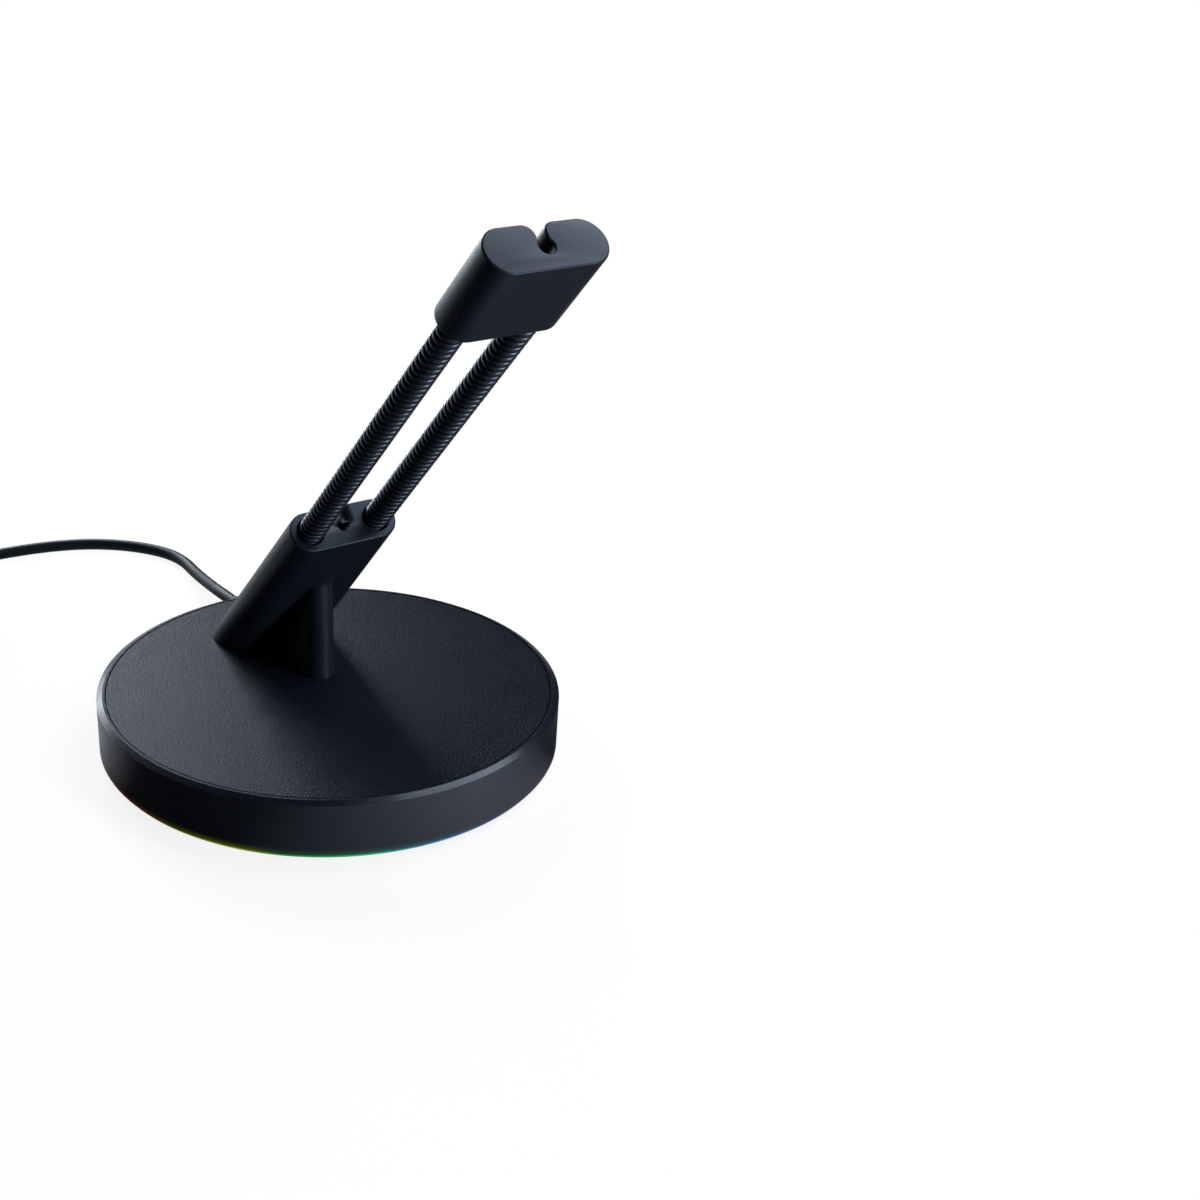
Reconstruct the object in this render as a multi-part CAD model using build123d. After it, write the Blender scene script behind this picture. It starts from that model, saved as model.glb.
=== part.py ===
# Cord bungee for a desk: a weighted round base with a light ring, a leaning bracket,
# twin coil springs and a slotted cord head. Millimetres, +Z up.
# The origin is on the desk below the base's centre, and the arm leans towards -Y.
import os
from math import cos, pi, radians, sin, sqrt, tan

from build123d import *

# Base rim
base_radius = 50.0
base_height = 13.3
rim_chamfer_out = 1.2
rim_chamfer_down = 0.65
rim_land = 0.55
rim_wall = 2.5
ledge_width = 2.0
ledge_thickness = 1.2

# Top cover
cover_thickness = 2.0
cover_gap = 0.2
cover_edge_break = 0.15

# Light ring under the rim
ground_clearance = 0.6
ring_flange = 0.8
ring_setback = 0.6
ring_fit = 0.1
upstand_wall = 1.9
upstand_height = 3.8
lip_width = 2.1
lip_thickness = 1.0

# Bottom plate and foot
plate_thickness = 1.8
plate_gap = 0.15
plate_bearing = 1.2
foot_seat_depth = 0.4
foot_width = 10.0
foot_inset = 1.4
foot_gap = 0.1

# Screws
screw_radius = 1.3
screw_head_radius = 2.6
screw_head_height = 1.5
screw_clearance = 0.2
thread_clearance = 0.05
screw_grip = 6.0
recess_length = 2.8
recess_width = 0.7
recess_depth = 0.7
plate_screw_count = 4
weight_screw_count = 3
head_pocket_clearance = 0.4
plate_web = 0.8
pilot_relief = 0.8

# Steel weight
weight_thickness = 3.6
weight_gap = 3.4
weight_boss_height = 1.1
weight_screw_circle = 20.0
boss_wall = 2.0
boss_gap = 0.5
cover_skin = 1.0

# Circuit board and what is on it
board_thickness = 1.2
board_gap = 0.3
board_width = 14.0
stake_count = 4
stake_post_radius = 2.0
stake_pin_radius = 0.9
stake_head_radius = 1.6
stake_head_height = 0.5
stake_gap = 0.1
stake_inset = 5.0
led_count = 12
led_length = 3.2
led_depth = 1.4
led_height = 1.0
led_inset = 0.4
chip_size = 5.0
chip_height = 0.9
chip_angle = 200.0
chip_margin = 1.0
connector_width = 7.0
connector_depth = 5.0
connector_margin = 0.8
notch_margin = 1.0

# Leaning bracket, spring arm and head share one stadium section
arm_tilt = 48.0
arm_foot_y = 29.4
arm_thickness = 9.0
spring_spacing = 15.5
bracket_length = 52.5
bracket_draft = 0.7
head_length = 19.5
arm_edge_round = 0.4
bracket_screw_forward = 3.9

# Post rib in front of the bracket
post_nose_y = 1.5
post_half_width = 3.3
post_draft = 1.2
post_screw_back = 1.2

# Springs and their sockets
spring_length = 76.0
spring_radius = 2.6
spring_bore = 1.1
coil_pitch = 1.58
coil_groove = 0.6
spring_seat = 14.0
socket_radius = 3.05
spigot_gap = 0.1
spigot_relief = 3.0

# Keyhole slot that holds the cord being guided
seat_radius = 1.5
throat_width = 2.0
mouth_round = 2.2

# Lead outlet in the rear wall
lead_x = 7.0
lead_z = 6.4
outlet_pad = 0.45
relief_flange_radius = 3.3
relief_flange = 1.4
relief_neck_radius = 2.3
relief_collar_radius = 2.7
relief_tip_radius = 2.0
relief_length = 10.0
relief_collar = 2.4
relief_rings = 3
relief_groove = 0.45
relief_fit = 0.1
inner_lead_radius = 1.2

# Lead on the desk: route points, coil of the unseen length and plug
cord_radius = 1.5
cord_lift = 0.05
arc_share = 0.45
lead_straight = 7.0
tail_straight = 6.0
coil_x = -66.0
coil_y = 106.0
coil_mean_radius = 16.5
coil_rows = 4
coil_corner = 2.0
tie_thickness = 0.6
tie_width = 5.0
tie_clearance = 0.4
plug_x = -86.0
plug_y = 70.0
plug_neck_length = 8.0
plug_neck_radius = 2.4
plug_length = 24.0
plug_width = 15.0
plug_height = 7.5
plug_round = 1.6
shell_width = 12.0
shell_height = 4.5
shell_wall = 0.35
shell_length = 12.0
shell_seat = 4.0
shell_window = 2.0
shell_window_spacing = 5.0
shell_window_back = 6.4
tongue_height = 1.9
tongue_gap = 0.1
tongue_inset = 0.4

# Levels and radii worked out from the sizes above
cover_bottom = base_height - cover_thickness
rim_bottom = ground_clearance + ring_flange
rim_inner = base_radius - rim_wall
recess_radius = base_radius - rim_chamfer_out - rim_land
cover_radius = recess_radius - cover_gap
ring_radius = base_radius - ring_setback
upstand_outer = rim_inner - ring_fit
upstand_inner = upstand_outer - upstand_wall
upstand_top = rim_bottom + upstand_height
lip_inner = upstand_inner - lip_width
plate_radius = lip_inner + plate_bearing
plate_top = ground_clearance + plate_thickness
lip_top = plate_top + lip_thickness
board_top = lip_top + board_thickness
board_outer = upstand_inner - board_gap
board_inner = board_outer - board_width
weight_top = cover_bottom - weight_boss_height
weight_bottom = weight_top - weight_thickness
weight_radius = upstand_outer - weight_gap - upstand_wall
boss_radius = screw_radius + boss_wall
boss_circle = board_inner - boss_radius - boss_gap
stake_circle = board_inner + stake_inset
hole_radius = screw_radius + screw_clearance
pilot_radius = screw_radius + thread_clearance
pocket_radius = screw_head_radius + head_pocket_clearance
foot_outer = plate_radius - foot_inset
foot_inner = foot_outer - foot_width
wall_y = sqrt(base_radius**2 - lead_x**2)
outlet_y = wall_y - outlet_pad
outlet_inner_y = sqrt(rim_inner**2 - lead_x**2)
relief_tip_y = outlet_y + relief_length
relief_inner_y = outlet_inner_y - relief_flange
connector_front = board_inner + notch_margin
connector_back = connector_front + connector_depth
coil_section = 2 * cord_radius * coil_rows
coil_bottom = tie_thickness + cord_lift
cord_floor = cord_radius + cord_lift
plug_z = plug_height / 2
head_start = bracket_length + spring_length
arm_reach = 3 * (base_radius + base_height)

# The arm's own frame: x across, y towards the rear face, z along the arm from its foot
arm = Plane(
    origin=(0, arm_foot_y, base_height),
    x_dir=(1, 0, 0),
    z_dir=(0, -cos(radians(arm_tilt)), sin(radians(arm_tilt))),
)
bracket_screws_at = [
    (-spring_spacing / 2, arm_foot_y - bracket_screw_forward),
    (spring_spacing / 2, arm_foot_y - bracket_screw_forward),
    (0, post_nose_y + post_half_width + post_screw_back),
]
below = (Align.CENTER, Align.CENTER, Align.MAX)
above = (Align.CENTER, Align.CENTER, Align.MIN)

# Lead from the outlet to the coil, and from the coil to the plug
lead_route = [
    (lead_x, relief_tip_y, lead_z),
    (lead_x, relief_tip_y + lead_straight, lead_z),
    (8.4, 76.0, 3.5),
    (10.6, 87.5, cord_floor),
    (12.0, 101.5, cord_floor),
    (8.0, 114.5, cord_floor),
    (-2.0, 123.5, cord_floor),
    (-15.0, 128.3, cord_floor),
    (-31.0, 129.4, cord_floor),
    (-48.0, 128.6, cord_floor),
    (-66.0, 127.0, coil_bottom + cord_radius),
]
tail_route = [
    (-87.0, 107.0, coil_bottom + coil_section - cord_radius),
    (-87.3, 98.5, 9.9),
    (-86.5, 90.5, 5.6),
    (plug_x, plug_y + plug_neck_length + tail_straight, plug_z),
    (plug_x, plug_y + plug_neck_length, plug_z),
]


def turned(points):
    outline = Polyline(*[(r, 0, z) for r, z in points], close=True)
    return revolve(make_face(outline.edges()), Axis.Z, 360)


def disc(radius, low, high):
    return Pos(0, 0, low) * Cylinder(radius, high - low, align=above)


def along_y(solid, x, y, z):
    return Pos(x, y, z) * Rot(-90, 0, 0) * solid


def screw(length):
    head = Cylinder(screw_head_radius, screw_head_height, align=below)
    shank = Cylinder(screw_radius, length, align=above)
    bars = Box(recess_length, recess_width, recess_depth, align=above)
    bars += Box(recess_width, recess_length, recess_depth, align=above)
    return head + shank - Pos(0, 0, -screw_head_height) * bars


def group(solids):
    return Compound(children=list(solids))


# Moulded rim with a chamfered top edge, a ledge for the cover and an outlet for the lead
def base_rim():
    ledge_inner = recess_radius - ledge_width
    rim = turned([
        (rim_inner, rim_bottom),
        (base_radius, rim_bottom),
        (base_radius, base_height - rim_chamfer_down),
        (base_radius - rim_chamfer_out, base_height),
        (recess_radius, base_height),
        (recess_radius, cover_bottom),
        (ledge_inner, cover_bottom),
        (ledge_inner, cover_bottom - ledge_thickness),
        (rim_inner, cover_bottom - ledge_thickness),
    ])
    collar_pad = Cylinder(relief_collar_radius + relief_fit, base_radius, align=above)
    flange_pad = Cylinder(relief_flange_radius + relief_fit, relief_flange, align=below)
    neck_hole = Cylinder(relief_neck_radius + relief_fit, 2 * rim_wall + relief_flange)
    rim -= along_y(collar_pad, lead_x, outlet_y, lead_z)
    rim -= along_y(flange_pad, lead_x, outlet_inner_y, lead_z)
    return rim - along_y(neck_hole, lead_x, outlet_y, lead_z)


# Round cover with long bosses for the bottom plate and short ones for the weight
def top_cover():
    cover = disc(cover_radius, cover_bottom, base_height)
    cover = chamfer(cover.edges().group_by(Axis.Z)[-1], cover_edge_break)
    long_boss = disc(boss_radius, plate_top, cover_bottom)
    long_pilot = disc(pilot_radius, plate_top, plate_top + screw_grip + pilot_relief)
    short_boss = disc(boss_radius, weight_top, cover_bottom)
    short_pilot = disc(pilot_radius, weight_top, base_height - cover_skin)
    for spot in plate_screw_spots():
        cover += spot * long_boss
        cover -= spot * long_pilot
    for spot in weight_screw_spots():
        cover += spot * short_boss
        cover -= spot * short_pilot
    for x, y in bracket_screws_at:
        cover -= Pos(x, y, 0) * disc(hole_radius, cover_bottom, base_height)
    return cover


def plate_screw_spots():
    first = 180 / plate_screw_count
    return PolarLocations(boss_circle, plate_screw_count, start_angle=first)


def weight_screw_spots():
    return PolarLocations(weight_screw_circle, weight_screw_count, start_angle=90)


# Steel plate under the cover, holed for bosses and screws, notched above the chip and the lead
def weight_plate():
    plate = disc(weight_radius, weight_bottom, weight_top)
    for spot in plate_screw_spots():
        plate -= spot * disc(boss_radius + boss_gap, weight_bottom, weight_top)
    for spot in weight_screw_spots():
        plate -= spot * disc(hole_radius, weight_bottom, weight_top)
    for x, y in bracket_screws_at:
        plate -= Pos(x, y, 0) * disc(pocket_radius, weight_bottom, weight_top)
    chip_notch = Box(
        base_radius,
        chip_size + 2 * chip_margin,
        base_height,
        align=(Align.MIN, Align.CENTER, Align.MIN),
    )
    plate -= chip_spot() * Pos(-chip_size / 2 - chip_margin, 0, 0) * chip_notch
    notch = Box(
        connector_width + 2 * notch_margin,
        base_radius,
        base_height,
        align=(Align.CENTER, Align.MIN, Align.MIN),
    )
    return plate - Pos(lead_x, connector_front - notch_margin, 0) * notch


def weight_screws():
    grip = base_height - cover_skin - weight_bottom - thread_clearance
    return group(spot * Pos(0, 0, weight_bottom) * screw(grip) for spot in weight_screw_spots())


def bracket_screws():
    grip = cover_thickness + screw_grip
    return group(Pos(x, y, cover_bottom) * screw(grip) for x, y in bracket_screws_at)


# Clear ring: a glowing flange below the rim, an upstand inside it and a lip for the board
def light_ring():
    flange_inner = plate_radius + plate_gap
    ring = turned([
        (flange_inner, ground_clearance),
        (ring_radius, ground_clearance),
        (ring_radius, rim_bottom),
        (upstand_outer, rim_bottom),
        (upstand_outer, upstand_top),
        (upstand_inner, upstand_top),
        (upstand_inner, lip_top),
        (lip_inner, lip_top),
        (lip_inner, plate_top),
        (flange_inner, plate_top),
    ])
    notch_half = relief_flange_radius + relief_fit
    notch = Box(
        2 * notch_half,
        base_radius,
        base_height,
        align=(Align.CENTER, Align.MIN, Align.MIN),
    )
    return ring - Pos(lead_x, 0, lead_z - notch_half) * notch


# Bottom plate with a seat for the foot, screw pockets and staked posts for the board
def bottom_plate():
    plate = disc(plate_radius, ground_clearance, plate_top)
    seat_top = ground_clearance + foot_seat_depth
    seat = disc(foot_outer + foot_gap, ground_clearance, seat_top)
    seat -= disc(foot_inner - foot_gap, ground_clearance, seat_top)
    plate -= seat
    pocket_top = plate_top - plate_web
    for spot in plate_screw_spots():
        plate -= spot * disc(pocket_radius, ground_clearance, pocket_top)
        plate -= spot * disc(hole_radius, ground_clearance, plate_top)
    for spot in stake_spots():
        plate += spot * disc(stake_post_radius, plate_top, lip_top)
        plate += spot * disc(stake_pin_radius, lip_top, board_top)
        plate += spot * disc(stake_head_radius, board_top, board_top + stake_head_height)
    return plate


def stake_spots():
    return PolarLocations(stake_circle, stake_count)


def bottom_screws():
    seat = plate_top - plate_web
    return group(spot * Pos(0, 0, seat) * screw(screw_grip) for spot in plate_screw_spots())


def rubber_foot():
    top = ground_clearance + foot_seat_depth
    return disc(foot_outer, 0, top) - disc(foot_inner, 0, top)


# Ring-shaped board on the light ring's lip
def led_board():
    board = disc(board_outer, lip_top, board_top) - disc(board_inner, lip_top, board_top)
    for spot in stake_spots():
        board -= spot * disc(stake_pin_radius + stake_gap, lip_top, board_top)
    return board


def leds():
    circle = board_outer - led_inset - led_depth / 2
    lamp = Pos(0, 0, board_top) * Box(led_depth, led_length, led_height, align=above)
    first = 180 / led_count
    return group(spot * lamp for spot in PolarLocations(circle, led_count, start_angle=first))


def chip_spot():
    return Rot(0, 0, chip_angle) * Pos(board_inner + board_width / 2, 0, board_top)


def controller_chip():
    return chip_spot() * Box(chip_size, chip_size, chip_height, align=above)


def board_connector():
    height = lead_z - board_top + inner_lead_radius + connector_margin
    block = Box(
        connector_width,
        connector_depth,
        height,
        align=(Align.CENTER, Align.MIN, Align.MIN),
    )
    return Pos(lead_x, connector_front, board_top) * block


def inner_lead():
    length = relief_inner_y - connector_back
    return along_y(Cylinder(inner_lead_radius, length, align=above), lead_x, connector_back, lead_z)


# Rubber strain relief: flange inside the wall, collar outside, ringed taper to the lead
def strain_relief():
    taper = relief_length - relief_collar
    step = taper / (2 * relief_rings + 1)
    outline = [
        (0, relief_inner_y - outlet_y),
        (relief_flange_radius, relief_inner_y - outlet_y),
        (relief_flange_radius, outlet_inner_y - outlet_y),
        (relief_neck_radius, outlet_inner_y - outlet_y),
        (relief_neck_radius, 0),
        (relief_collar_radius, 0),
        (relief_collar_radius, relief_collar),
    ]
    for ring in range(relief_rings):
        low = relief_collar + (2 * ring + 1) * step
        share = (low - relief_collar) / taper
        radius = relief_collar_radius + (relief_tip_radius - relief_collar_radius) * share
        outline += [
            (radius, low - step / 2),
            (radius - relief_groove, low),
            (radius - relief_groove, low + step / 2),
            (radius, low + step),
        ]
    outline += [(relief_tip_radius, relief_length), (0, relief_length)]
    return along_y(turned(outline), lead_x, outlet_y, lead_z)


# Annular sockets for both springs, each with a spigot that the coils slip over
def spring_sockets(mouth, turn):
    ring = Cylinder(socket_radius, spring_seat, align=above)
    spigot = Cylinder(spring_bore - spigot_gap, spring_seat - spigot_relief, align=above)
    ring -= Pos(0, 0, spigot_relief) * spigot
    sides = (-spring_spacing / 2, spring_spacing / 2)
    return group(arm.offset(mouth) * Pos(x, 0, 0) * Rot(turn, 0, 0) * ring for x in sides)


def keyhole(low, high):
    slot = Circle(seat_radius) + Rectangle(
        throat_width, arm_thickness, align=(Align.CENTER, Align.MIN)
    )
    return extrude(arm.offset(low) * slot, high - low)


def round_mouth(solid):
    lines = solid.edges().filter_by(GeomType.LINE)
    walls = lines.filter_by_position(Axis.X, -seat_radius, seat_radius)
    return fillet(walls.sort_by(Axis(arm.origin, arm.y_dir))[-2:], mouth_round)


# Leaning bracket and its post, one moulding, cut off level with the cover
def arm_bracket():
    top = Plane(arm.origin + arm.z_dir * bracket_length, x_dir=(1, 0, 0), z_dir=-arm.z_dir)
    section = SlotCenterToCenter(spring_spacing, arm_thickness)
    body = extrude(top * section, bracket_length + arm_thickness, taper=-bracket_draft)
    body = fillet(top_edges(body), arm_edge_round)
    body -= keyhole(-2 * arm_thickness, bracket_length + arm_thickness)
    body = round_mouth(body)
    post_back = arm_foot_y - post_nose_y - post_half_width
    post_middle = post_nose_y + post_half_width + post_back / 2
    post_plan = Pos(0, post_middle) * Rot(0, 0, 90) * SlotCenterToCenter(post_back, 2 * post_half_width)
    post = extrude(Plane.XY.offset(base_height) * post_plan, bracket_length, taper=post_draft)
    behind = Box(arm_reach, arm_reach, arm_reach, align=(Align.CENTER, Align.MIN, Align.CENTER))
    post -= arm * Pos(0, seat_radius - arm_thickness / 2, 0) * behind
    body += post
    body -= Pos(0, 0, base_height) * Box(arm_reach, arm_reach, arm_reach, align=below)
    body -= spring_sockets(bracket_length, 180)
    for x, y in bracket_screws_at:
        body -= Pos(x, y, 0) * disc(pilot_radius, base_height, base_height + screw_grip + pilot_relief)
    return body


def top_edges(solid):
    return solid.faces().sort_by(Axis(arm.origin, arm.z_dir))[-1].edges()


def end_edges(solid):
    ends = solid.faces().sort_by(Axis(arm.origin, arm.z_dir))
    return ends[0].edges() + ends[-1].edges()


# Cord head: the same section, slotted along its rear for the cord
def cord_head():
    section = SlotCenterToCenter(spring_spacing, arm_thickness)
    head = extrude(arm.offset(head_start) * section, head_length)
    head -= keyhole(head_start, head_start + head_length)
    head = round_mouth(head)
    head = fillet(end_edges(head), arm_edge_round)
    return head - spring_sockets(head_start, 0)


# Close-wound spring drawn as a ridged sleeve, plain where it sits in its sockets
def spring(x):
    coils = round(spring_length / coil_pitch)
    pitch = spring_length / coils
    valley = spring_radius - coil_groove
    outline = [(spring_bore, -spring_seat), (spring_radius, -spring_seat)]
    for coil in range(coils):
        outline += [(spring_radius, coil * pitch), (valley, (coil + 0.5) * pitch)]
    outline += [
        (spring_radius, spring_length),
        (spring_radius, spring_length + spring_seat),
        (spring_bore, spring_length + spring_seat),
    ]
    return arm.offset(bracket_length) * Pos(x, 0, 0) * turned(outline)


# Tube along straight runs joined by the largest arcs that the runs allow
def cord_tube(name, route):
    points = [Vector(*point) for point in route]
    radii = []
    for before, here, after in zip(points, points[1:], points[2:]):
        arriving = here - before
        leaving = after - here
        turn = radians(arriving.get_angle(leaving))
        radii.append(arc_share * min(arriving.length, leaving.length) / tan(turn / 2))
    path = FilletPolyline(*points, radius=radii)
    tube = sweep(Plane(path @ 0, z_dir=path % 0) * Circle(cord_radius), path=path)
    print(name, "radii", [round(radius, 1) for radius in radii], "length", round(path.length, 1))
    print(name, "volume", round(tube.volume, 1), "section times length",
          round(pi * cord_radius**2 * path.length, 1))
    return tube


# Outer shape of the wound coil: a square ring with its corners cut off
def cord_coil():
    section = Rectangle(coil_section, coil_section)
    section = chamfer(section.vertices(), coil_corner)
    section = Pos(coil_mean_radius, coil_section / 2) * section
    coil = revolve(Plane.XZ * section, Axis.Z, 360)
    return Pos(coil_x, coil_y, coil_bottom) * coil


def coil_tie():
    inner_width = coil_section + 2 * tie_clearance
    inner_height = coil_section + cord_lift + tie_clearance
    outer = Box(inner_width + 2 * tie_thickness, tie_width, inner_height + 2 * tie_thickness, align=above)
    outer = fillet(outer.edges().filter_by(Axis.Y), coil_corner)
    inner = Box(inner_width, tie_width, inner_height, align=above)
    inner = fillet(inner.edges().filter_by(Axis.Y), coil_corner - tie_thickness)
    return Pos(coil_x + coil_mean_radius, coil_y, 0) * (outer - Pos(0, 0, tie_thickness) * inner)


# Moulded plug grip with a short neck, lying flat with its shell towards -Y
def plug_body():
    grip = Box(plug_width, plug_length, plug_height, align=(Align.CENTER, Align.MAX, Align.CENTER))
    grip = fillet(grip.edges().filter_by(Axis.Y), plug_round)
    grip = fillet(grip.faces().sort_by(Axis.Y)[-1].edges(), plug_round / 2)
    seat = Box(shell_width, shell_seat, shell_height, align=(Align.CENTER, Align.MIN, Align.CENTER))
    grip -= Pos(0, -plug_length, 0) * seat
    neck = Cone(plug_height / 2 - plug_round / 2, plug_neck_radius, plug_neck_length, align=above)
    return Pos(plug_x, plug_y, plug_z) * (grip + Rot(-90, 0, 0) * neck)


def plug_shell():
    length = shell_length + shell_seat
    align = (Align.CENTER, Align.MAX, Align.CENTER)
    tube = Box(shell_width, length, shell_height, align=align)
    tube -= Box(shell_width - 2 * shell_wall, length, shell_height - 2 * shell_wall, align=align)
    window = Box(shell_window, shell_window, 2 * shell_height)
    for x in (-shell_window_spacing / 2, shell_window_spacing / 2):
        tube -= Pos(x, shell_window_back - length, 0) * window
    return Pos(plug_x, plug_y - plug_length + shell_seat, plug_z) * tube


def plug_tongue():
    length = shell_length + shell_seat - tongue_inset
    width = shell_width - 2 * shell_wall - 2 * tongue_gap
    align = (Align.CENTER, Align.MAX, Align.MAX)
    tongue = Box(width, length, tongue_height, align=align)
    top = plug_z + shell_height / 2 - shell_wall - tongue_gap
    return Pos(plug_x, plug_y - plug_length + shell_seat, top) * tongue


pieces = {
    "base_rim": base_rim(),
    "top_cover": top_cover(),
    "arm_bracket": arm_bracket(),
    "bracket_screws": bracket_screws(),
    "weight_plate": weight_plate(),
    "weight_screws": weight_screws(),
    "led_board": led_board(),
    "leds": leds(),
    "controller_chip": controller_chip(),
    "board_connector": board_connector(),
    "inner_lead": inner_lead(),
    "light_ring": light_ring(),
    "bottom_plate": bottom_plate(),
    "bottom_screws": bottom_screws(),
    "rubber_foot": rubber_foot(),
    "left_spring": spring(-spring_spacing / 2),
    "right_spring": spring(spring_spacing / 2),
    "cord_head": cord_head(),
    "strain_relief": strain_relief(),
    "cord_lead": cord_tube("cord_lead", lead_route),
    "cord_coil": cord_coil(),
    "cord_tail": cord_tube("cord_tail", tail_route),
    "coil_tie": coil_tie(),
    "usb_plug_body": plug_body(),
    "usb_plug_shell": plug_shell(),
    "usb_plug_tongue": plug_tongue(),
}

os.makedirs("parts", exist_ok=True)
for name, solid in pieces.items():
    export_step(solid, os.path.join("parts", name + ".step"))
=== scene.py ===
from math import cos, pi, radians, sin

import bmesh
import bpy
from mathutils import Euler, Matrix, Vector


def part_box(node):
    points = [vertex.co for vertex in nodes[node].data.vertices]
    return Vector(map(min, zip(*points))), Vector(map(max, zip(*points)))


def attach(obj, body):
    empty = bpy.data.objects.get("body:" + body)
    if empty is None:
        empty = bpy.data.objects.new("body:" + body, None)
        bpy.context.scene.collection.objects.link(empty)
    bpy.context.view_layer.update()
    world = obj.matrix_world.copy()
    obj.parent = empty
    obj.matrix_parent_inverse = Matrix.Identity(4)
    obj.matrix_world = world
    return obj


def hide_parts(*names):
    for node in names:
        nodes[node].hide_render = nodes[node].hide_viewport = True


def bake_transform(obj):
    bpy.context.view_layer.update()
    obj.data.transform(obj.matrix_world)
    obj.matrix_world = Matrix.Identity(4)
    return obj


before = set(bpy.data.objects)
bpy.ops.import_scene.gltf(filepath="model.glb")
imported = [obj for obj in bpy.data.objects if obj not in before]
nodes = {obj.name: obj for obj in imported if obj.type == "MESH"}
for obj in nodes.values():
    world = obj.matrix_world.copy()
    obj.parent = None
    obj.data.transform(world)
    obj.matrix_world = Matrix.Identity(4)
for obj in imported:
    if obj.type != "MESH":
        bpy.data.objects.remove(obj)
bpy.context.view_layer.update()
mm = 0.001
print("frame loaded:", len(nodes), "nodes")


# helpers for objects and node trees
def addToScene(name, data):
    item = bpy.data.objects.new(name, data)
    bpy.context.scene.collection.objects.link(item)
    return item


def meshFrom(bm, name, material):
    mesh = bpy.data.meshes.new(name)
    bm.to_mesh(mesh)
    bm.free()
    mesh.materials.append(material)
    return mesh


def startMaterial(name):
    material = bpy.data.materials.new(name)
    material.use_nodes = True
    tree = material.node_tree
    return material, tree, tree.nodes["Principled BSDF"]


# a socket takes a link, a colour or a number
def feed(tree, socket, value):
    if isinstance(value, bpy.types.NodeSocket):
        tree.links.new(value, socket)
    elif isinstance(value, (tuple, list)):
        socket.default_value = (*value, 1)
    else:
        socket.default_value = value


def objectCoords(tree):
    return tree.nodes.new("ShaderNodeTexCoord").outputs["Object"]


def splitAxes(tree, coords):
    split = tree.nodes.new("ShaderNodeSeparateXYZ")
    tree.links.new(coords, split.inputs["Vector"])
    return split.outputs


def noiseField(tree, sizeMm, detail=2.0, roughness=0.5):
    noise = tree.nodes.new("ShaderNodeTexNoise")
    noise.inputs["Scale"].default_value = 1 / (sizeMm * mm)
    noise.inputs["Detail"].default_value = detail
    noise.inputs["Roughness"].default_value = roughness
    tree.links.new(objectCoords(tree), noise.inputs["Vector"])
    return noise.outputs["Fac"]


# most of a noise field lies between 0.3 and 0.7
def remap(tree, value, low, high, fromLow=0.3, fromHigh=0.7):
    node = tree.nodes.new("ShaderNodeMapRange")
    limits = {"From Min": fromLow, "From Max": fromHigh, "To Min": low, "To Max": high}
    for socketName, limit in limits.items():
        node.inputs[socketName].default_value = limit
    tree.links.new(value, node.inputs["Value"])
    return node.outputs["Result"]


def maths(tree, operation, first, second=0.0):
    node = tree.nodes.new("ShaderNodeMath")
    node.operation = operation
    feed(tree, node.inputs[0], first)
    feed(tree, node.inputs[1], second)
    return node.outputs["Value"]


def mixColours(tree, share, first, second):
    node = tree.nodes.new("ShaderNodeMix")
    node.data_type = "RGBA"
    tree.links.new(share, node.inputs["Factor"])
    feed(tree, node.inputs["A"], first)
    feed(tree, node.inputs["B"], second)
    return node.outputs["Result"]


def mixShaders(tree, share, first, second):
    node = tree.nodes.new("ShaderNodeMixShader")
    for socket, value in zip(node.inputs, (share, first, second)):
        tree.links.new(value, socket)
    return node.outputs["Shader"]


def addBump(tree, shader, height, depthMm):
    bump = tree.nodes.new("ShaderNodeBump")
    bump.inputs["Strength"].default_value = 1.0
    bump.inputs["Distance"].default_value = depthMm * mm
    tree.links.new(height, bump.inputs["Height"])
    tree.links.new(bump.outputs["Normal"], shader.inputs["Normal"])


# grained plastic: two close tones, spark-eroded grain and an uneven gloss
coolTint = (0.66, 0.79, 1.0)
plasticGrain = {"detail": 3.0, "roughness": 0.65, "cloudDim": 0.7}


def grainedPlastic(name, finish):
    material, tree, shader = startMaterial(name)
    grain = noiseField(tree, finish["grain"], plasticGrain["detail"], plasticGrain["roughness"])
    cloud = noiseField(tree, finish["cloud"])
    clouding = remap(tree, cloud, plasticGrain["cloudDim"], 1.0)
    tone = maths(tree, "MULTIPLY", remap(tree, grain, 0.0, 1.0), clouding)
    shader.inputs["Specular IOR Level"].default_value = finish["specular"]
    feed(tree, shader.inputs["Specular Tint"], finish.get("tint", coolTint))
    feed(tree, shader.inputs["Base Color"], mixColours(tree, tone, finish["dark"], finish["light"]))
    feed(tree, shader.inputs["Roughness"], remap(tree, grain, *finish["roughness"]))
    addBump(tree, shader, grain, finish["grainDepth"])
    return material


# sizes of the grain, its depth and the clouding are in mm
coverFinish = {
    "dark": (0.0026, 0.0038, 0.007),
    "light": (0.0088, 0.0116, 0.018),
    "specular": 0.066,
    "roughness": (0.25, 0.38),
    "grain": 0.4,
    "grainDepth": 0.18,
    "cloud": 9.0,
}
rimFinish = {
    "dark": (0.0042, 0.0052, 0.0078),
    "light": (0.0064, 0.0078, 0.0112),
    "specular": 0.8,
    "tint": (0.78, 0.84, 1.0),
    "roughness": (0.26, 0.33),
    "grain": 0.3,
    "grainDepth": 0.008,
    "cloud": 12.0,
}
chamferFinish = {
    "dark": (0.004, 0.005, 0.008),
    "light": (0.006, 0.0075, 0.011),
    "specular": 0.3,
    "tint": (0.8, 0.87, 1.0),
    "roughness": (0.2, 0.26),
    "grain": 0.3,
    "grainDepth": 0.001,
    "cloud": 12.0,
}
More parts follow.
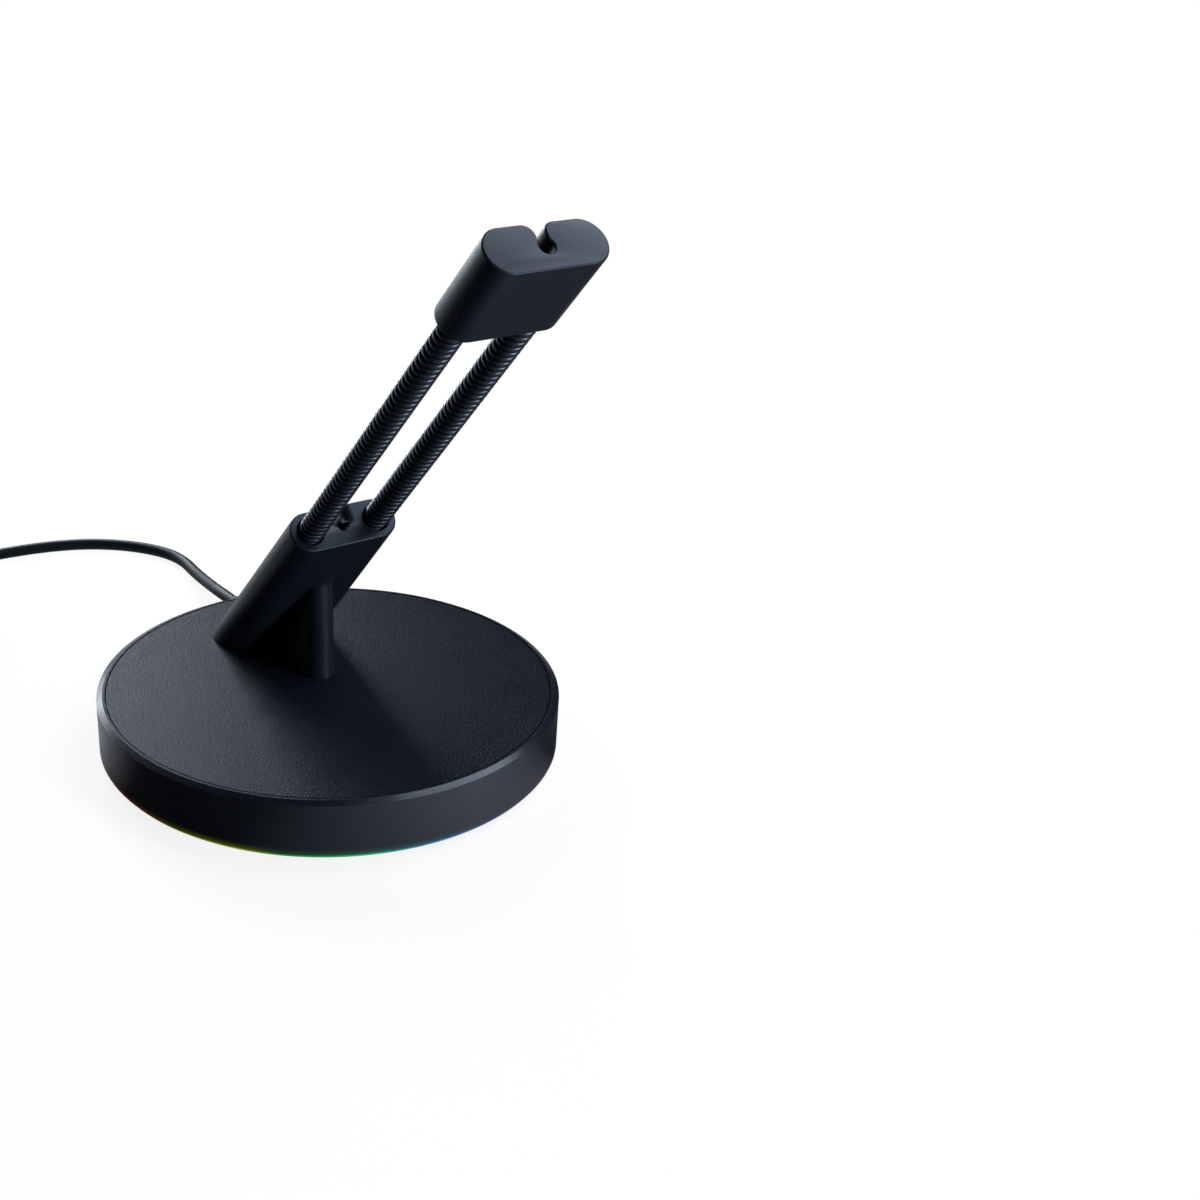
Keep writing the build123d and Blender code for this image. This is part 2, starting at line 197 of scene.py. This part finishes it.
armFinish = {
    "dark": (0.0032, 0.0042, 0.0072),
    "light": (0.0058, 0.0074, 0.0118),
    "specular": 0.2,
    "roughness": (0.38, 0.46),
    "grain": 0.3,
    "grainDepth": 0.0015,
    "cloud": 10.0,
}
endFinish = dict(armFinish, specular=0.28, roughness=(0.3, 0.38))
plateFinish = {
    "dark": (0.012, 0.012, 0.013),
    "light": (0.022, 0.022, 0.024),
    "specular": 0.3,
    "roughness": (0.5, 0.62),
    "grain": 0.5,
    "grainDepth": 0.03,
    "cloud": 14.0,
}
plugFinish = {
    "dark": (0.014, 0.014, 0.016),
    "light": (0.024, 0.024, 0.027),
    "specular": 0.35,
    "roughness": (0.42, 0.55),
    "grain": 0.25,
    "grainDepth": 0.01,
    "cloud": 6.0,
}
rubberFinish = {
    "dark": (0.005, 0.006, 0.0075),
    "light": (0.009, 0.0105, 0.0125),
    "specular": 0.08,
    "roughness": (0.4, 0.47),
    "grain": 0.35,
    "grainDepth": 0.002,
    "cloud": 5.0,
}
footFinish = {
    "dark": (0.015, 0.015, 0.015),
    "light": (0.028, 0.028, 0.028),
    "specular": 0.2,
    "roughness": (0.7, 0.85),
    "grain": 0.7,
    "grainDepth": 0.05,
    "cloud": 7.0,
}
springFinish = {
    "dark": (0.003, 0.0035, 0.005),
    "light": (0.006, 0.007, 0.0095),
    "specular": 0.36,
    "roughness": (0.3, 0.4),
    "grain": 0.2,
    "grainDepth": 0.003,
    "cloud": 3.0,
}
coverPlastic = grainedPlastic("coverGrainedPlastic", coverFinish)
rimPlastic = grainedPlastic("rimSatinPlastic", rimFinish)
chamferPlastic = grainedPlastic("rimPolishedChamfer", chamferFinish)
armPlastic = grainedPlastic("armMattPlastic", armFinish)
endPlastic = grainedPlastic("armSatinEndPlastic", endFinish)
platePlastic = grainedPlastic("bottomPlatePlastic", plateFinish)
plugPlastic = grainedPlastic("plugPlastic", plugFinish)
leadRubber = grainedPlastic("leadRubber", rubberFinish)
footRubber = grainedPlastic("footRubber", footFinish)
springLacquer = grainedPlastic("springBlackLacquer", springFinish)

# worked metals: fine scuffs and an uneven polish, sizes in mm
metalWork = {"detail": 4.0, "roughness": 0.7, "depth": 0.004, "cloud": 4.0}
steelFinish = {
    "dark": (0.36, 0.37, 0.39),
    "light": (0.56, 0.57, 0.58),
    "roughness": (0.28, 0.42),
    "scuff": 0.12,
}
shellFinish = {
    "dark": (0.6, 0.61, 0.62),
    "light": (0.74, 0.74, 0.75),
    "roughness": (0.18, 0.3),
    "scuff": 0.2,
}
screwFinish = {
    "dark": (0.05, 0.052, 0.056),
    "light": (0.12, 0.122, 0.13),
    "roughness": (0.3, 0.42),
    "scuff": 0.15,
}


def workedMetal(name, finish):
    material, tree, shader = startMaterial(name)
    scuff = noiseField(tree, finish["scuff"], metalWork["detail"], metalWork["roughness"])
    cloud = noiseField(tree, metalWork["cloud"])
    shader.inputs["Metallic"].default_value = 1.0
    feed(tree, shader.inputs["Base Color"], mixColours(tree, cloud, finish["dark"], finish["light"]))
    feed(tree, shader.inputs["Roughness"], remap(tree, scuff, *finish["roughness"]))
    addBump(tree, shader, scuff, metalWork["depth"])
    return material


weightSteel = workedMetal("weightSteel", steelFinish)
plugSteel = workedMetal("plugShellSteel", shellFinish)
screwSteel = workedMetal("blackedScrewSteel", screwFinish)

# parts inside the base and the plug
boardFinish = dict(
    plateFinish,
    dark=(0.004, 0.02, 0.012),
    light=(0.008, 0.034, 0.02),
    grain=1.2,
    grainDepth=0.01,
)
chipFinish = dict(plugFinish, dark=(0.01, 0.01, 0.01), light=(0.016, 0.016, 0.016), grain=0.15)
connectorFinish = dict(plugFinish, dark=(0.55, 0.53, 0.47), light=(0.66, 0.64, 0.58))
lampFinish = dict(plugFinish, dark=(0.72, 0.71, 0.66), light=(0.82, 0.81, 0.77))
tongueFinish = dict(plugFinish, dark=(0.02, 0.02, 0.022), light=(0.035, 0.035, 0.038))
boardLacquer = grainedPlastic("boardLacquer", boardFinish)
chipEpoxy = grainedPlastic("chipEpoxy", chipFinish)
connectorNylon = grainedPlastic("connectorNylon", connectorFinish)
lampPlastic = grainedPlastic("lampPlastic", lampFinish)
tonguePlastic = grainedPlastic("tonguePlastic", tongueFinish)

# hook-and-loop strap: crossed weave on the object's own axes, sizes in mm
tieFinish = {
    "dark": (0.009, 0.009, 0.01),
    "light": (0.03, 0.03, 0.032),
    "roughness": 0.9,
    "thread": 0.45,
    "depth": 0.08,
}


def wovenStrap(name, finish):
    material, tree, shader = startMaterial(name)
    place = splitAxes(tree, objectCoords(tree))
    threadTurn = 2 * pi / (finish["thread"] * mm)
    wave = {}
    for axis in ("X", "Y", "Z"):
        wave[axis] = maths(tree, "SINE", maths(tree, "MULTIPLY", place[axis], threadTurn))
    weave = maths(tree, "MULTIPLY", maths(tree, "ADD", wave["X"], wave["Z"]), wave["Y"])
    tone = remap(tree, weave, 0.0, 1.0, -1.0, 1.0)
    feed(tree, shader.inputs["Base Color"], mixColours(tree, tone, finish["dark"], finish["light"]))
    shader.inputs["Roughness"].default_value = finish["roughness"]
    addBump(tree, shader, tone, finish["depth"])
    return material


tieWeave = wovenStrap("tieWeave", tieFinish)

# diffuser ring: the hue runs round the base (angle in degrees), a little brighter at each lamp
glow = {
    "body": (0.03, 0.03, 0.032),
    "roughness": (0.35, 0.5),
    "frost": 0.4,
    "frostDepth": 0.01,
    "frostLift": 1.4,
    "strength": 0.5,
    "lamps": 12,
    "lampShare": 0.12,
    "hues": [
        (-180, (0.5, 0.05, 0.04)),
        (-170, (0.45, 0.12, 0.04)),
        (-160, (0.28, 0.25, 0.02)),
        (-150, (0.36, 0.4, 0.01)),
        (-138, (0.34, 0.44, 0.0)),
        (-131, (0.02, 0.4, 0.04)),
        (-119, (0.0, 0.52, 0.1)),
        (-109, (0.0, 0.75, 0.33)),
        (-101, (0.0, 0.46, 0.55)),
        (-92, (0.05, 0.26, 0.62)),
        (-82, (0.09, 0.14, 0.46)),
        (-70, (0.22, 0.09, 0.36)),
        (-45, (0.5, 0.05, 0.2)),
        (-15, (0.5, 0.05, 0.04)),
        (15, (0.42, 0.46, 0.02)),
        (50, (0.02, 0.55, 0.1)),
        (90, (0.0, 0.46, 0.55)),
        (125, (0.09, 0.14, 0.55)),
        (155, (0.4, 0.06, 0.3)),
        (180, (0.5, 0.05, 0.04)),
    ],
}


def angleRound(tree):
    place = splitAxes(tree, objectCoords(tree))
    return maths(tree, "ARCTAN2", place["Y"], place["X"])


def hueRound(tree, angle):
    ramp = tree.nodes.new("ShaderNodeValToRGB")
    tree.links.new(remap(tree, angle, 0.0, 1.0, -pi, pi), ramp.inputs["Fac"])
    stops = ramp.color_ramp.elements
    while len(stops) < len(glow["hues"]):
        stops.new(1.0)
    for stop, (degrees, hue) in zip(stops, glow["hues"]):
        stop.position = (degrees + 180) / 360
        stop.color = (*hue, 1)
    return ramp.outputs["Color"]


def lightUp(tree, shader, colour, share, strength):
    lit = tree.nodes.new("ShaderNodeVectorMath")
    lit.operation = "SCALE"
    tree.links.new(colour, lit.inputs["Vector"])
    tree.links.new(share, lit.inputs["Scale"])
    tree.links.new(lit.outputs["Vector"], shader.inputs["Emission Color"])
    shader.inputs["Emission Strength"].default_value = strength


def glowingRing(name):
    material, tree, shader = startMaterial(name)
    angle = angleRound(tree)
    ripple = maths(tree, "COSINE", maths(tree, "MULTIPLY", angle, glow["lamps"]))
    share = remap(tree, ripple, 1 - 2 * glow["lampShare"], 1.0, -1.0, 1.0)
    lightUp(tree, shader, hueRound(tree, angle), share, glow["strength"])
    frost = noiseField(tree, glow["frost"])
    frosted = [glow["frostLift"] * part for part in glow["body"]]
    feed(tree, shader.inputs["Base Color"], mixColours(tree, frost, glow["body"], frosted))
    feed(tree, shader.inputs["Roughness"], remap(tree, frost, *glow["roughness"]))
    addBump(tree, shader, frost, glow["frostDepth"])
    return material


ringGlow = glowingRing("ringGlow")

# painted light: the ring's glow is painted onto the rim's lowest edge as emission
paintedGlow = {"reachMm": 1.5, "strength": 0.12, "falloff": 2.0}


# painted glow: emission in the ring's hues on the rim, fading over reachMm above its lowest point
def paintRingGlowOnRim(material):
    tree = material.node_tree
    height = splitAxes(tree, objectCoords(tree))["Z"]
    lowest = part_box("base_rim")[0][2]
    near = remap(tree, height, 1.0, 0.0, lowest, lowest + paintedGlow["reachMm"] * mm)
    share = maths(tree, "POWER", near, paintedGlow["falloff"])
    colour = hueRound(tree, angleRound(tree))
    lightUp(tree, tree.nodes["Principled BSDF"], colour, share, paintedGlow["strength"])


paintRingGlowOnRim(rimPlastic)
print("materials made:", len(bpy.data.materials))

# the leaning arm: its foot, its lean in degrees and the stretches along it in mm
arm = {
    "footY": 29.4,
    "footZ": 13.3,
    "lean": 48.0,
    "bracket": 52.5,
    "free": 76.0,
    "spacing": 15.5,
}
armWay = Vector((0, -cos(radians(arm["lean"])), sin(radians(arm["lean"]))))
armFoot = Vector((0, arm["footY"], arm["footZ"]))


def alongArm(distance, x=0.0):
    return (armFoot + armWay * distance + Vector((x, 0, 0))) * mm


# rigid mouldings: the node's own shape, joined up, shaded smooth and with a fine break on its edges
dressing = {
    "mergeMm": 0.0005,
    "flatDegrees": 0.3,
    "sharpDegrees": 24.0,
    "breakMm": 0.09,
    "fineBreakMm": 0.05,
    "breakSteps": 2,
}


def dressNode(nodeName, pieceName, material, body="stand", breakMm=dressing["breakMm"]):
    mesh = nodes[nodeName].data.copy()
    mesh.name = pieceName
    bm = bmesh.new()
    bm.from_mesh(mesh)
    bmesh.ops.remove_doubles(bm, verts=bm.verts, dist=dressing["mergeMm"] * mm)
    bmesh.ops.dissolve_limit(
        bm,
        angle_limit=radians(dressing["flatDegrees"]),
        verts=bm.verts,
        edges=bm.edges,
        use_dissolve_boundaries=False,
    )
    bm.to_mesh(mesh)
    bm.free()
    mesh.materials.clear()
    mesh.materials.append(material)
    mesh.shade_smooth()
    mesh.set_sharp_from_angle(angle=radians(dressing["sharpDegrees"]))
    piece = addToScene(pieceName, mesh)
    if breakMm:
        bevel = piece.modifiers.new("edgeBreak", "BEVEL")
        bevel.width = breakMm * mm
        bevel.segments = dressing["breakSteps"]
        bevel.limit_method = "ANGLE"
        bevel.angle_limit = radians(dressing["sharpDegrees"])
        bevel.harden_normals = True
    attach(piece, body)
    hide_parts(nodeName)
    return piece


fine = dressing["fineBreakMm"]
rim = dressNode("base_rim", "rimMoulding", rimPlastic)
dressNode("top_cover", "coverMoulding", coverPlastic)
bracket = dressNode("arm_bracket", "bracketMoulding", armPlastic, breakMm=0)
head = dressNode("cord_head", "headMoulding", armPlastic, body="head", breakMm=0)
dressNode("light_ring", "ringMoulding", ringGlow)
dressNode("bottom_plate", "plateMoulding", platePlastic)
dressNode("rubber_foot", "footRing", footRubber)
dressNode("strain_relief", "reliefSleeve", leadRubber)
tie = dressNode("coil_tie", "tieStrap", tieWeave)
plugBody = dressNode("usb_plug_body", "plugGrip", plugPlastic)
plugShell = dressNode("usb_plug_shell", "plugShell", plugSteel, breakMm=fine)
plugTongue = dressNode("usb_plug_tongue", "plugTongue", tonguePlastic, breakMm=fine)
dressNode("bottom_screws", "bottomScrewSet", screwSteel, breakMm=fine)

# the rim's chamfer is polished, its narrow top has the cover's grain, the rest of it is satin
chamfer = {"bottomMm": 12.6, "leanLow": 0.6, "leanHigh": 0.96}
rim.data.materials.append(chamferPlastic)
rim.data.materials.append(coverPlastic)
for polygon in rim.data.polygons:
    lean = polygon.normal.z
    if polygon.center.z / mm > chamfer["bottomMm"] and lean > chamfer["leanLow"]:
        polygon.material_index = 1 if lean < chamfer["leanHigh"] else 2

# the ends of the bracket and the head that face up the arm are satin
endLean = 0.98
for moulding in (bracket, head):
    moulding.data.materials.append(endPlastic)
    for polygon in moulding.data.polygons:
        if polygon.normal.dot(armWay) > endLean:
            polygon.material_index = 1
print("mouldings dressed")

# pieces that stay as they are inside the base
innerFinish = {
    "bracket_screws": screwSteel,
    "weight_plate": weightSteel,
    "weight_screws": screwSteel,
    "led_board": boardLacquer,
    "leds": lampPlastic,
    "controller_chip": chipEpoxy,
    "board_connector": connectorNylon,
    "inner_lead": leadRubber,
}
for nodeName, material in innerFinish.items():
    nodes[nodeName].data.materials.clear()
    nodes[nodeName].data.materials.append(material)

# close-wound springs: a round wire spun up a screw line, its ends seated in both mouldings, in mm
spring = {
    "wire": 1.5,
    "outer": 5.55,
    "turnsShown": 48,
    "seat": 13.5,
    "stepsPerTurn": 24,
    "wireSides": 10,
    "hand": 1,
}


def makeSpring(name, x, nodeName):
    pitch = arm["free"] / spring["turnsShown"]
    turns = round((arm["free"] + 2 * spring["seat"]) / pitch)
    start = arm["bracket"] - (turns * pitch - arm["free"]) / 2
    wireRadius = spring["wire"] / 2 * mm
    coilRadius = spring["outer"] / 2 * mm - wireRadius
    bm = bmesh.new()
    upright = Matrix.Translation((coilRadius, 0, 0)) @ Matrix.Rotation(pi / 2, 4, "X")
    bmesh.ops.create_circle(bm, segments=spring["wireSides"], radius=wireRadius, matrix=upright)
    bmesh.ops.spin(
        bm,
        geom=bm.verts[:] + bm.edges[:],
        cent=(0, 0, 0),
        axis=(0, 0, 1),
        dvec=(0, 0, pitch * mm / spring["stepsPerTurn"]),
        angle=spring["hand"] * 2 * pi * turns,
        steps=turns * spring["stepsPerTurn"],
        use_merge=False,
        use_duplicate=False,
    )
    bmesh.ops.remove_doubles(bm, verts=bm.verts, dist=dressing["mergeMm"] * mm)
    openEdges = [edge for edge in bm.edges if edge.is_boundary]
    bmesh.ops.holes_fill(bm, edges=openEdges, sides=spring["wireSides"])
    bmesh.ops.recalc_face_normals(bm, faces=bm.faces)
    turnToArm = Vector((0, 0, 1)).rotation_difference(armWay).to_matrix().to_4x4()
    ontoArm = Matrix.Translation(alongArm(start, x)) @ turnToArm
    bmesh.ops.transform(bm, matrix=ontoArm, verts=bm.verts)
    mesh = meshFrom(bm, name, springLacquer)
    mesh.shade_smooth()
    piece = addToScene(name, mesh)
    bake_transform(piece)
    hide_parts(nodeName)
    print("spring wound:", name, len(mesh.polygons), "faces")


makeSpring("leftCoilSpring", -arm["spacing"] / 2, "left_spring")
makeSpring("rightCoilSpring", arm["spacing"] / 2, "right_spring")

# lead: out of the base, over the desk, wound into a tied coil and back out to its plug, in mm
lead = {
    "diameter": 3.0,
    "tubeRounding": 4,
    "lineSteps": 5,
    "way": [
        (7.0, 59.058, 6.4), (7.0, 62.6, 6.4), (7.4, 69.2, 5.6), (8.6, 77.0, 4.2),
        (9.9, 85.2, 2.8), (11.1, 92.5, 1.8), (11.8, 98.4, 1.55), (10.8, 105.2, 1.55),
        (7.0, 112.2, 1.55), (1.0, 118.6, 1.55), (-6.5, 123.6, 1.55), (-16.5, 127.0, 1.55),
        (-30.0, 128.6, 1.55), (-48.0, 128.6, 1.55),
    ],
    "wayToPlug": [(-87.3, 98.5, 9.9), (-86.5, 90.5, 5.6), (-86.0, 84.0, 3.75), (-86.0, 78.0, 3.75)],
    "coilCentre": (-66.0, 106.0),
    "outerRadius": 21.0,
    "lowestLayer": 2.15,
    "layers": 4,
    "turnsPerLayer": 2.875,
    "climbTurns": 0.25,
    "pointsPerTurn": 16,
    "startAngle": 90.0,
    "ownShare": 0.75,  # what a control point gives the spline beside it; its neighbours give the rest
}


def coilPoints():
    layerTurns = lead["turnsPerLayer"] + lead["climbTurns"]
    totalTurns = lead["layers"] * layerTurns - lead["climbTurns"]
    innerRadius = lead["outerRadius"] - lead["turnsPerLayer"] * lead["diameter"]
    count = round(totalTurns * lead["pointsPerTurn"])
    # the spline cuts inside its points by this much
    pullIn = lead["ownShare"] + (1 - lead["ownShare"]) * cos(2 * pi / lead["pointsPerTurn"])
    points = []
    for step in range(count + 1):
        turn = totalTurns * step / count
        layer = min(int(turn / layerTurns), lead["layers"] - 1)
        inLayer = turn - layer * layerTurns
        share = min(inLayer / lead["turnsPerLayer"], 1.0)
        climb = max(inLayer - lead["turnsPerLayer"], 0.0) / lead["climbTurns"]
        inward = share if layer % 2 == 0 else 1 - share
        radius = (lead["outerRadius"] + (innerRadius - lead["outerRadius"]) * inward) / pullIn
        angle = radians(lead["startAngle"]) + 2 * pi * turn
        x = lead["coilCentre"][0] + radius * cos(angle)
        y = lead["coilCentre"][1] + radius * sin(angle)
        z = lead["lowestLayer"] + (layer + climb) * lead["diameter"]
        points.append((x, y, z))
    return points


def makeLead():
    points = lead["way"] + coilPoints() + lead["wayToPlug"]
    curve = bpy.data.curves.new("usbLead", "CURVE")
    curve.dimensions = "3D"
    curve.bevel_depth = lead["diameter"] / 2 * mm
    curve.bevel_resolution = lead["tubeRounding"]
    curve.use_fill_caps = True
    spline = curve.splines.new("NURBS")
    spline.points.add(len(points) - 1)
    for point, place in zip(spline.points, points):
        point.co = (*(Vector(place) * mm), 1)
    spline.order_u = 3
    spline.use_endpoint_u = True
    spline.resolution_u = lead["lineSteps"]
    spline.use_smooth = True
    piece = addToScene("usbLead", curve)
    curve.materials.append(leadRubber)
    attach(piece, "stand")
    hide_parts("cord_lead", "cord_coil", "cord_tail")


makeLead()
print("lead laid")

# camera at the photograph's place: offset and lift in mm, angles in degrees, clip in metres
view = {
    "focalPixels": 1650.36,
    "imagePixels": 1200,
    "azimuth": -35.607,
    "elevation": 25.003,
    "roll": 2.171,
    "offset": (33.092, 28.944, 365.793),
    "lift": 0.9,
    "shift": 0.1,
    "sensorMm": 36.0,
    "clip": (0.01, 50.0),
}
cameraTurn = Euler((radians(90 - view["elevation"]), 0, radians(view["azimuth"]))).to_matrix()
cameraTurn = cameraTurn @ Matrix.Rotation(radians(view["roll"]), 3, "Z")
cameraData = bpy.data.cameras.new("photoCamera")
cameraData.sensor_width = view["sensorMm"]
cameraData.lens = view["sensorMm"] * view["focalPixels"] / view["imagePixels"]
cameraData.shift_x = view["shift"]
cameraData.clip_start, cameraData.clip_end = view["clip"]
camera = addToScene("photoCamera", cameraData)
camera.rotation_euler = cameraTurn.to_euler()
camera.location = (cameraTurn @ Vector(view["offset"]) + Vector((0, 0, view["lift"]))) * mm
bpy.context.scene.camera = camera

# studio directions as the photograph sees them: right, into the picture and up, in metres
rightWay = Vector((cos(radians(view["azimuth"])), sin(radians(view["azimuth"])), 0))
intoWay = Vector((-rightWay.y, rightWay.x, 0))
lampTint = (0.85, 0.93, 1.0)
studio = {
    "keyLight": {
        "place": (-0.245, 0.39, 0.235),
        "aim": (-0.03, 0.0, 0.02),
        "size": (0.24, 0.18),
        "watts": 2.9,
    },
    "sideLight": {
        "place": (-0.44, 0.34, 0.15),
        "aim": (-0.03, 0.0, 0.04),
        "size": (0.35, 0.25),
        "watts": 0.9,
    },
    "topLight": {
        "place": (0.185, 0.118, 0.41),
        "aim": (0.0, 0.0, 0.0),
        "size": (0.16, 0.3),
        "watts": 1.25,
    },
    "capLight": {
        "place": (0.2, -0.055, 0.265),
        "aim": (0.045, -0.055, 0.12),
        "size": (0.06, 0.06),
        "watts": 0.22,
    },
    "frontLight": {
        "place": (0.5, -0.32, 0.1),
        "aim": (0.0, 0.0, 0.01),
        "size": (0.16, 0.16),
        "watts": 4.2,
    },
}


def fromStudio(place):
    right, into, up = place
    return rightWay * right + intoWay * into + Vector((0, 0, up))


for lampName, lamp in studio.items():
    lampData = bpy.data.lights.new(lampName, "AREA")
    lampData.shape = "RECTANGLE"
    lampData.size, lampData.size_y = lamp["size"]
    lampData.energy = lamp["watts"]
    lampData.color = lampTint
    lampObject = addToScene(lampName, lampData)
    lampObject.location = fromStudio(lamp["place"])
    lampObject.visible_camera = False
    aimWay = fromStudio(lamp["aim"]) - lampObject.location
    lampObject.rotation_euler = aimWay.to_track_quat("-Z", "Y").to_euler()
print("camera and lamps placed")

# pale floor and world: white where the camera sees them, soft sweeps of light where the object
# mirrors them, and dim where they only light it
floorLook = {
    "radius": 6.0,
    "sides": 64,
    "seen": (1.0, 1.0, 1.0),
    "colour": (0.3, 0.31, 0.33),
    "shadowed": (0.9, 0.9, 0.9),
    "shadowShare": 0.15,
    "shadowReach": (0.07, 0.16),
    "mirrored": (0.9, 0.95, 1.0),
    "sweepDim": 0.02,
    "sweeps": {  # brightness, then the ways over which it rises, each from and to a place in metres
        "back": (0.42, [("into", (-0.01, 0.15))]),
        "right": (0.7, [("right", (-0.02, 0.06)), ("into", (-0.005, -0.04))]),
        "left": (0.52, [("right", (-0.03, -0.05)), ("into", (-0.032, -0.005))]),
        "farLeft": (1.0, [("right", (-0.04, -0.065)), ("into", (0.02, 0.08)), ("into", (0.3, 0.2))]),
    },
}
worldLook = {
    "seen": (1.0, 1.0, 1.0),
    "ambient": (0.05, 0.055, 0.065),
    "horizon": (0.42, 0.45, 0.5),
    "upper": (0.03, 0.033, 0.04),
    "brightBelow": 0.0,
    "dimAbove": 0.06,
}


def seenOrMirrored(tree):
    rays = tree.nodes.new("ShaderNodeLightPath").outputs
    seenStraight = rays["Is Camera Ray"]
    mirrored = maths(tree, "MAXIMUM", rays["Is Glossy Ray"], rays["Is Transmission Ray"])
    return maths(tree, "MAXIMUM", seenStraight, mirrored), seenStraight


def sweptLight(tree):
    onFloor = {}
    for wayName, way in (("into", intoWay), ("right", rightWay)):
        onward = tree.nodes.new("ShaderNodeVectorMath")
        onward.operation = "DOT_PRODUCT"
        onward.inputs[1].default_value = way
        tree.links.new(objectCoords(tree), onward.inputs[0])
        onFloor[wayName] = onward.outputs["Value"]
    brightest = floorLook["sweepDim"]
    for brightness, reaches in floorLook["sweeps"].values():
        sweep = brightness
        for wayName, reach in reaches:
            sweep = maths(tree, "MULTIPLY", sweep, remap(tree, onFloor[wayName], 0.0, 1.0, *reach))
        brightest = maths(tree, "MAXIMUM", brightest, sweep)
    return brightest


def mattFloor(tree, colour):
    matt = tree.nodes.new("ShaderNodeBsdfDiffuse")
    feed(tree, matt.inputs["Color"], colour)
    return matt.outputs["BSDF"]


def floorFinish():
    material, tree, shader = startMaterial("paleFloor")
    tree.nodes.remove(shader)
    seen, seenStraight = seenOrMirrored(tree)
    away = tree.nodes.new("ShaderNodeVectorMath")
    away.operation = "LENGTH"
    tree.links.new(objectCoords(tree), away.inputs[0])
    near = remap(tree, away.outputs["Value"], floorLook["shadowShare"], 0.0, *floorLook["shadowReach"])
    shadowShare = maths(tree, "MULTIPLY", near, seenStraight)
    bright = tree.nodes.new("ShaderNodeEmission")
    tint = mixColours(tree, seenStraight, floorLook["mirrored"], floorLook["seen"])
    feed(tree, bright.inputs["Color"], tint)
    feed(tree, bright.inputs["Strength"], maths(tree, "MAXIMUM", seenStraight, sweptLight(tree)))
    shadowed = mattFloor(tree, floorLook["shadowed"])
    seenFloor = mixShaders(tree, shadowShare, bright.outputs["Emission"], shadowed)
    wholeFloor = mixShaders(tree, seen, mattFloor(tree, floorLook["colour"]), seenFloor)
    tree.links.new(wholeFloor, tree.nodes["Material Output"].inputs["Surface"])
    return material


def makeFloor():
    bm = bmesh.new()
    bmesh.ops.create_circle(bm, cap_ends=True, segments=floorLook["sides"], radius=floorLook["radius"])
    floor = addToScene("studioFloor", meshFrom(bm, "studioFloor", floorFinish()))


def makeWorld():
    world = bpy.data.worlds.new("studioWorld")
    world.use_nodes = True
    tree = world.node_tree
    skyCoords = tree.nodes.new("ShaderNodeTexCoord").outputs["Generated"]
    height = splitAxes(tree, skyCoords)["Z"]
    high = remap(tree, height, 0.0, 1.0, worldLook["brightBelow"], worldLook["dimAbove"])
    backdrop = mixColours(tree, high, worldLook["horizon"], worldLook["upper"])
    seen, seenStraight = seenOrMirrored(tree)
    mirrored = mixColours(tree, seen, worldLook["ambient"], backdrop)
    wholeSky = mixColours(tree, seenStraight, mirrored, worldLook["seen"])
    tree.links.new(wholeSky, tree.nodes["Background"].inputs["Color"])
    bpy.context.scene.world = world


makeFloor()
makeWorld()
bpy.context.scene.view_settings.view_transform = "Standard"
print("floor and world made")
